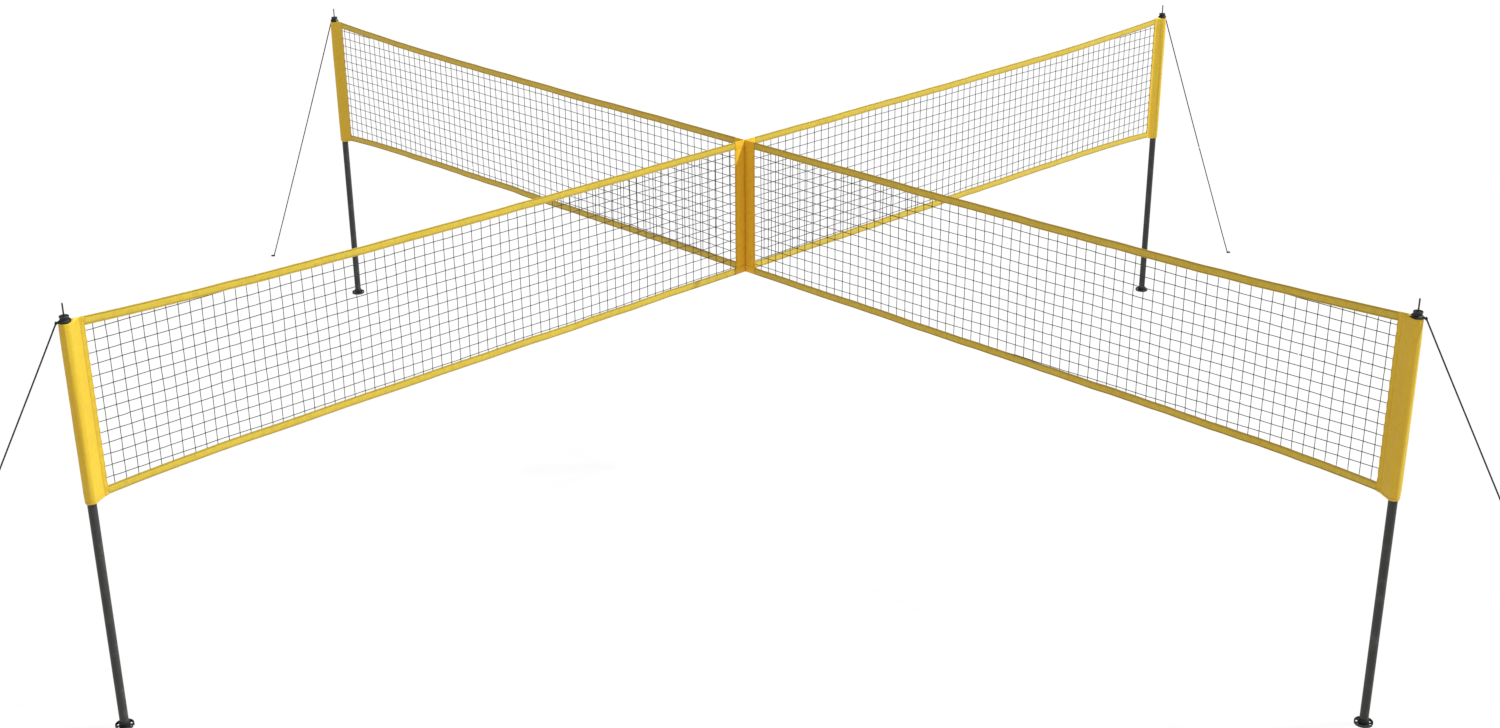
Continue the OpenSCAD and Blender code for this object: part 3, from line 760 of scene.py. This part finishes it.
for i, side in enumerate(SIDES):
    body, w, q = flap(panels[i])
    piece = body.build(f"column_band_{side}", COLUMN_PAINTED_SHADE, i)
    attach(piece, "raised_net")
    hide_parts(f"centre_flap_{side}")
    z = np.arange(z_bot(0.04) + 0.052, z_top(0.04) - 0.052, 0.0064)
    for at, off in ((0.0066, 0.0014), (0.0768, 0.00155)):
        for face in (-1, 1):
            p = np.stack([np.full(len(z), at), np.full(len(z), face * (off + 0.0006)), z], -1)
            stitches(threads[i], p, (0, 0, 1), (0, face, 0))


# -------------------------------------------------------------------- sleeves

def smooth_step(x, a, b):
    t = np.clip((x - a) / (b - a), 0, 1)
    return t * t * (3 - 2 * t)


def sleeve_outline(r):
    """Half of the sleeve's section at each row: distance towards the net and sideways, by column."""
    band = np.array([0.0950, 0.0945, 0.0934, 0.0920, 0.0908, 0.0896, 0.0878, 0.0855, 0.0830, 0.0805, 0.0785, 0.0765,
                     0.0750, 0.0735, 0.0725, 0.0715, 0.0700])
    root, lift = 0.0700, 0.0020
    a0 = np.arccos(np.clip(r / root, 0, 0.97))
    f = np.linspace(0, 1, 11)[1:]
    tx, ty = r * np.cos(a0), r * np.sin(a0)
    bow = 0.0016 * np.sin(math.pi * f)
    mid_x = root + (tx[:, None] - root) * f - bow * 0.5
    mid_y = lift + (ty[:, None] - lift) * f - bow * 0.9
    a = a0[:, None] + (math.pi - a0)[:, None] * np.linspace(0, 1, 24)[None, 1:]
    arc_x, arc_y = r[:, None] * np.cos(a), r[:, None] * np.sin(a)
    x = np.concatenate([band[None] * np.ones((len(r), 1)), mid_x, arc_x], 1)
    y = np.concatenate([np.full((len(r), len(band)), lift), mid_y, arc_y], 1)
    return x, y, len(band)


def sleeve(panel):
    rng = panel.rng
    v = np.r_[0, 0.0012, 0.004, 0.008, 0.0125, 0.0145, 0.017, 0.022, np.linspace(0.03, 0.975, 92), 0.981, 0.985, 0.988, 0.992, 0.996, 0.9985, 1]
    top, low = POLE_TOP + 0.0029, SLEEVE_LOW
    z0 = low + v * (top - low)
    r = SLEEVE_R - 0.0042 * np.exp(-(z0 - low) / 0.020) - 0.0038 * np.exp(-(top - z0) / 0.034)
    r = r + 0.0007 * waves(rng, 4, 0.12, 0.6)(z0)
    x, y, nb = sleeve_outline(r)
    x = np.concatenate([x, x[:, -2::-1]], 1)
    y = np.concatenate([y, -y[:, -2::-1]], 1)
    rows, cols = x.shape
    angle = np.arctan2(y, x)
    # each row runs level round the tube and slopes up to the net's own edges on the band
    to_net = smooth_step(x, 0.030, 0.095)
    rise = smooth_step(x, 0.0335, 0.0420)
    s = ARM - x
    low_at = low + (z_bot(s) - low) * np.clip((x - 0.030) / 0.065, 0, 1)
    top_at = top + (z_top(s) + 0.0004 - top) * rise
    z = low_at + v[:, None] * (top_at - low_at)
    over = np.clip((z - top) / np.maximum(top_at - top, 1e-4), 0, 1) * (rise > 0.01)
    y = y + (np.sign(y) * 0.0020 - y) * over * (2 - over)
    # creases: long upright folds in the tube, puckers along the seam, a wavy inner edge
    normal = unit(np.stack([np.gradient(y, axis=1), -np.gradient(x, axis=1)], -1))
    folds = sum(a * np.sin(m * angle + f * z + t) for a, m, f, t in
                zip((0.00055, 0.00042, 0.00030, 0.00018), (3, 5, 8, 13), (2.2, -4.5, 7.0, -11.0), rng.random(4) * 6.28))
    tube = smooth_step(-x, -0.056, -0.030)
    flat = 1 - tube
    pucker = 0.00022 * np.sin(2 * math.pi * z / 0.021 + 2 * np.sin(z * 31)) * np.exp(-((x - 0.069) / 0.009) ** 2)
    pulls = 0.0007 * np.exp(-((x - 0.088) / 0.011) ** 2) * np.cos(2 * math.pi * (z - 2.167) / 0.0588)
    drape = 0.0006 * waves(rng, 4, 0.10, 0.5)(z) * flat
    collar = 0.00125 * smooth_step(x, 0.078, 0.084) * (smooth_step(z, z_top(4.4) - 0.050, z_top(4.4) - 0.044) + smooth_step(-z, -(z_bot(4.4) + 0.050), -(z_bot(4.4) + 0.044)))
    hem = 0.0004 * (np.exp(-((z0 - low - 0.007) / 0.005) ** 2))[:, None] - 0.0005 * (np.exp(-((z0 - low - 0.0145) / 0.0016) ** 2))[:, None]
    seam_dent = -0.00035 * np.exp(-((x - 0.0725) / 0.0012) ** 2) - 0.00045 * np.exp(-((x - 0.0908) / 0.0012) ** 2)
    push = folds * tube + pucker + pulls + collar + hem + seam_dent
    x = x + normal[..., 0] * push * np.where(x > 0.093, 0.3, 1.0)
    y = y + normal[..., 1] * push + drape
    x = x + 0.0011 * smooth_step(x, 0.086, 0.095) * np.cos(2 * math.pi * (z - 2.167) / 0.0588)
    run = np.r_[0, np.cumsum(np.hypot(np.diff(x[50]), np.diff(y[50])))]
    grid = np.stack([ARM - x, y, z], -1)
    # painted shade along the two seams, the bottom hem's stitch line and the bottom edge
    marks = 0.6 * np.exp(-((ARM - grid[..., 0] - 0.0725) / 0.0010) ** 2) + 0.8 * np.exp(-((ARM - grid[..., 0] - 0.0908) / 0.0010) ** 2)
    marks = marks + 0.8 * np.exp(-((z - low_at - 0.0145) / 0.0014) ** 2) + 0.5 * np.exp(-((z - low_at) / 0.0010) ** 2)
    thick = np.full((rows, cols), 0.0014)
    thick[:, [0, -1]] *= 0.4
    thick[0] *= 0.5
    thick[1:5] *= 1.7
    thick[-1] *= 0.5
    thick[-6:-1] *= 1.5
    return Shape().sheet(grid, thick, z0, run, np.clip(marks, 0, 1)), grid, run


def lid(grid):
    """The sleeve's closed top: it lies on the pole's end, inside the top hem, with a hole for the pin."""
    edge = grid[-8]
    keep = (ARM - edge[:, 0]) < 0.0695
    ring = edge[keep]
    ring = np.concatenate([ring, ring[:1]])
    c = np.array([ARM, 0.0])
    rel = ring[:, :2] - c
    hole = unit(rel) * 0.0052
    f = np.array([0, 0.03, 0.12, 0.3, 0.5, 0.7, 0.86, 0.95, 0.985])[:, None, None]
    flat = c + hole[None] + (rel[None] * 0.975 - hole[None]) * f
    dish = 0.0004 * np.sin(math.pi * f[..., 0]) - 0.0004 * (f[..., 0] > 0.9)
    z = POLE_TOP + 0.0011 + dish + np.zeros(flat.shape[:2])
    # painted shade in a ring round the pin hole
    return Shape().sheet(np.concatenate([flat, z[..., None]], -1), 0.0016, np.linspace(0, 0.03, len(f)),
                         np.linspace(0, 0.2, len(ring)), (f[..., 0] < 0.05) * 0.8 + np.zeros(flat.shape[:2]))


for i, side in enumerate(SIDES):
    body, grid, run = sleeve(panels[i])
    piece = body.build(f"pole_sleeve_{side}", YELLOW, i)
    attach(piece, "raised_net")
    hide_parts(f"sleeve_{side}")
    top = lid(grid).build(f"sleeve_top_{side}", YELLOW, i)
    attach(top, "raised_net")
    # stitching: along the seam beside the tube, along the inner edge, and round the bottom hem
    rows = grid.shape[0]
    width = ARM - grid[50, :, 0]
    for at in (0.0725, 0.0908):
        for face in (1, -1):
            half = np.arange(grid.shape[1])[: grid.shape[1] // 2] if face > 0 else np.arange(grid.shape[1])[grid.shape[1] // 2:]
            c = half[np.argmin(np.abs(width[half] - at))]
            line = grid[4:-4, c]
            p = resample(line, 0.0064)
            tang = unit(np.gradient(p, axis=0))
            stitches(threads[i], p + np.array([0, face * 0.0008, 0]), tang, (0, face, 0))
    hem_row = int(np.argmin(np.abs(grid[:, grid.shape[1] // 2, 2] - (SLEEVE_LOW + 0.0145))))
    line = resample(grid[hem_row], 0.0064)
    tang = unit(np.gradient(line, axis=0))
    out = unit(np.cross(tang, np.array([0.0, 0.0, 1.0])))
    middle = np.array([ARM, 0.0, 0.0])
    sign = np.sign(((line - middle)[:, :2] * out[:, :2]).sum(-1))[:, None]
    keep = (ARM - line[:, 0]) < 0.055
    stitches(threads[i], (line + out * sign * 0.00085)[keep], tang[keep], (out * sign)[keep])

for i, side in enumerate(SIDES):
    o = threads[i].build(f"stitching_{side}", THREAD, i)
    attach(o, "raised_net")


# ------------------------------------------------- CAD pieces: their finishes

finish_of = {"foot": BLACK, "cap": BLACK, "pole_plugs": BLACK, "snap_buttons": SPRING, "top_pin": PIN,
             "bottom_pole": POLE, "middle_pole": POLE, "upper_pole": POLE}
for name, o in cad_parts.items():
    for start, material in finish_of.items():
        if name.startswith(start):
            o.data.materials.clear()
            o.data.materials.append(material)
            if start != "snap_buttons":
                edge = o.modifiers.new("moulded edges", "BEVEL")
                edge.width, edge.segments = (0.0006 if material is BLACK else 0.0004), 2
                edge.limit_method, edge.angle_limit = "ANGLE", math.radians(40)


# -------------------------------------------------------- floor, light, world

floor_mesh = bpy.data.meshes.new("floor")
n_ring, radii = 96, [0.0, 6.0, 20.0, 80.0, 220.0]
fv, ff = [(0.0, 0.0, 0.0)], []
for r in radii[1:]:
    fv += [(r * math.cos(2 * math.pi * k / n_ring), r * math.sin(2 * math.pi * k / n_ring), 0.0) for k in range(n_ring)]
ff += [(0, 1 + k, 1 + (k + 1) % n_ring) for k in range(n_ring)]
for j in range(len(radii) - 2):
    a, b = 1 + j * n_ring, 1 + (j + 1) * n_ring
    ff += [(a + k, b + k, b + (k + 1) % n_ring, a + (k + 1) % n_ring) for k in range(n_ring)]
floor_mesh.from_pydata(fv, [], ff)
floor = bpy.data.objects.new("floor", floor_mesh)
floor.location.z = -0.0006
bpy.context.scene.collection.objects.link(floor)
pale = bpy.data.materials.new("floor_pale")
pale.use_nodes = True
t = pale.node_tree
t.nodes.clear()
out = t.nodes.new("ShaderNodeOutputMaterial")
add = t.nodes.new("ShaderNodeAddShader")
glow = t.nodes.new("ShaderNodeEmission")
glow.inputs["Color"].default_value = (1.0, 1.0, 1.0, 1)
glow.inputs["Strength"].default_value = 0.965
matt = t.nodes.new("ShaderNodeBsdfDiffuse")
matt.inputs["Color"].default_value = (0.025, 0.025, 0.025, 1)
t.links.new(glow.outputs[0], add.inputs[0])
t.links.new(matt.outputs[0], add.inputs[1])
t.links.new(add.outputs[0], out.inputs["Surface"])
floor_mesh.materials.append(pale)

TO_LIGHT = Vector((1.0, -0.8, 1.9)).normalized()
sun = bpy.data.objects.new("key", bpy.data.lights.new("key", "SUN"))
bpy.context.scene.collection.objects.link(sun)
sun.rotation_mode = "QUATERNION"
sun.rotation_quaternion = TO_LIGHT.to_track_quat("Z", "Y")
sun.data.energy = 5.75
sun.data.angle = math.radians(2.5)
sun.data.color = (0.84, 1.0, 0.92)

world = bpy.data.worlds.new("studio")
bpy.context.scene.world = world
world.use_nodes = True
w = world.node_tree
w.nodes.clear()
wo = w.nodes.new("ShaderNodeOutputWorld")
bg = w.nodes.new("ShaderNodeBackground")
tc = w.nodes.new("ShaderNodeTexCoord")
sp = w.nodes.new("ShaderNodeSeparateXYZ")
rp = w.nodes.new("ShaderNodeValToRGB")
w.links.new(tc.outputs["Generated"], sp.inputs[0])
w.links.new(sp.outputs[2], rp.inputs[0])
w.links.new(rp.outputs[0], bg.inputs["Color"])
# what is seen past the floor's edge is plain white; the light stays soft from above
seen, white, both = (w.nodes.new(n) for n in ("ShaderNodeLightPath", "ShaderNodeBackground", "ShaderNodeMixShader"))
white.inputs["Color"].default_value = (1.0, 1.0, 1.0, 1)
w.links.new(seen.outputs["Is Camera Ray"], both.inputs[0])
w.links.new(bg.outputs[0], both.inputs[1])
w.links.new(white.outputs[0], both.inputs[2])
w.links.new(both.outputs[0], wo.inputs["Surface"])
e = rp.color_ramp.elements
e[0].position, e[0].color = 0.0, (0.90, 0.88, 0.86, 1)
e[1].position, e[1].color = 0.55, (0.34, 0.335, 0.33, 1)
bg.inputs["Strength"].default_value = 1.0
